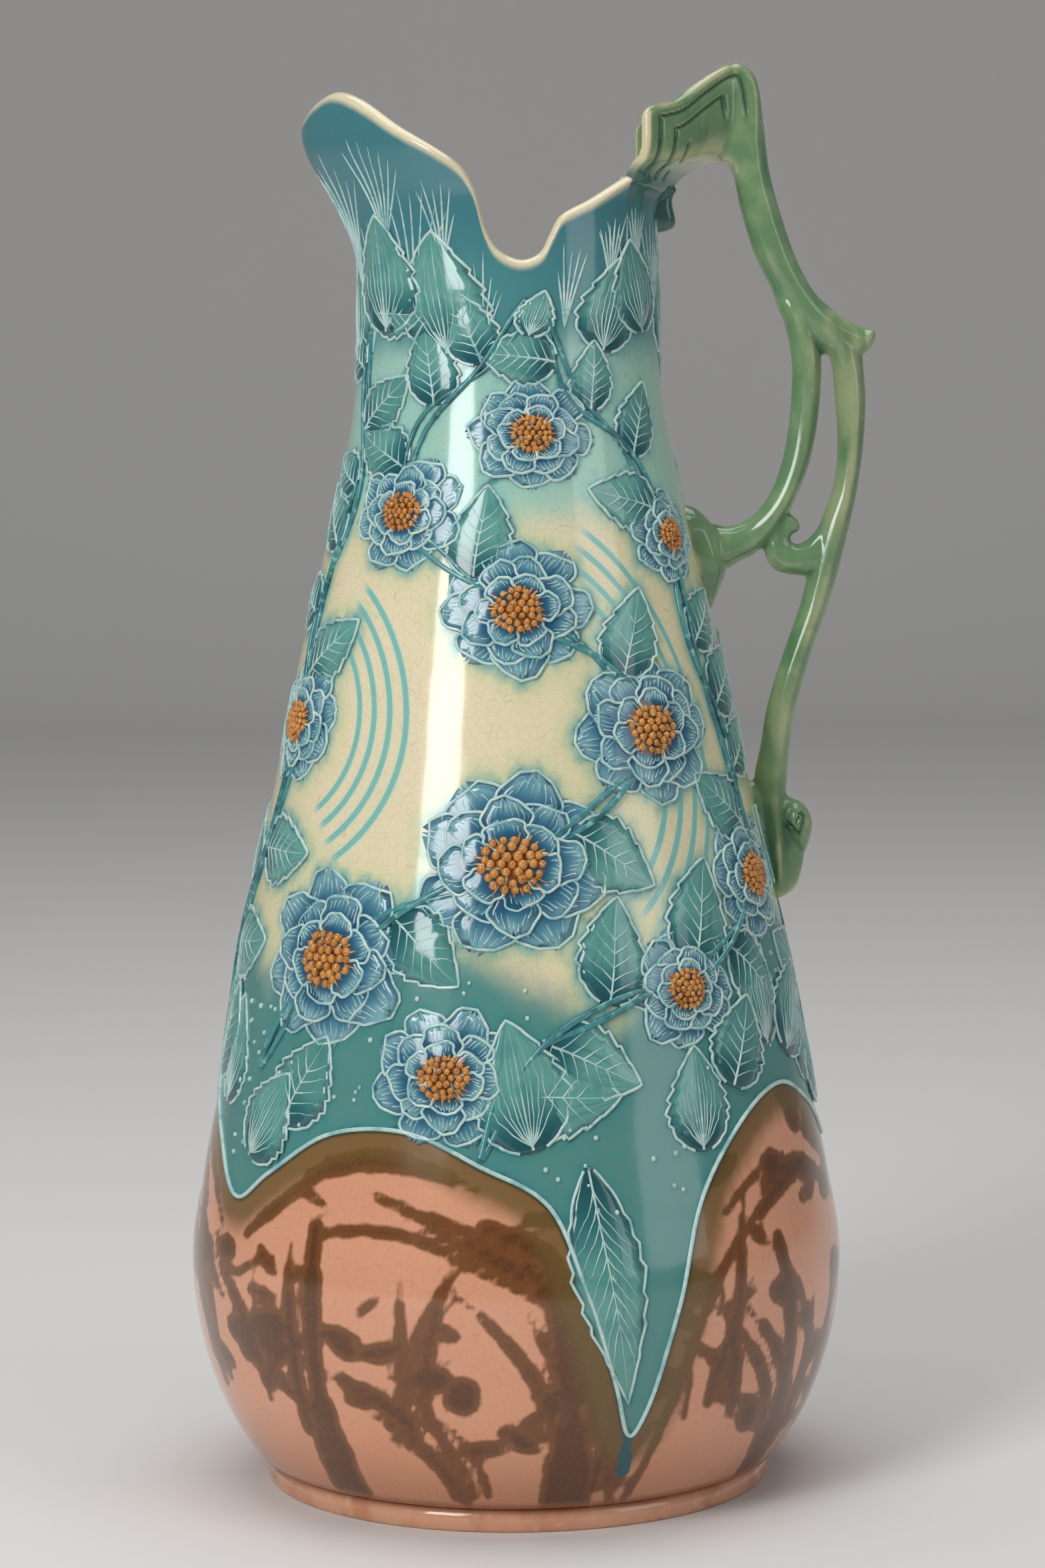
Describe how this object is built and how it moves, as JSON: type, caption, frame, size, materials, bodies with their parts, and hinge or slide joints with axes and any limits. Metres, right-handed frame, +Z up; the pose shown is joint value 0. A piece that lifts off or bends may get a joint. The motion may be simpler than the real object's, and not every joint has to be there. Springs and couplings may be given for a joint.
{
  "type": "pouring jug",
  "caption": "Tall glazed earthenware jug with a full belly, a long tapering neck, a wavy flared spout, and a forked plant-stem handle that springs from a stepped crest.",
  "frame": {"origin": "on the jug's axis, at the level of the table it stands on", "axes": "+Z up along the jug's axis, +X towards the handle, -X towards the spout; the plane Y = 0 runs through the spout and the handle, and the pictured side faces -Y"},
  "size_m": [0.1863, 0.176, 0.3799],
  "materials": {
    "peach_glaze": "gloss",
    "cream_glaze": "gloss",
    "teal_glaze": "gloss",
    "green_glaze": "gloss"
  },
  "bodies": {
    "root": {"foot_ring": "peach_glaze", "body": "cream_glaze", "neck_spout": "teal_glaze", "handle_crest": "green_glaze", "crest_drop": "green_glaze", "upper_limb": "green_glaze", "inner_limb": "green_glaze", "outer_limb": "green_glaze", "branch_curl": "green_glaze", "shoulder_pad": "green_glaze", "tail_scroll": "green_glaze"}
  },
  "joints": []
}
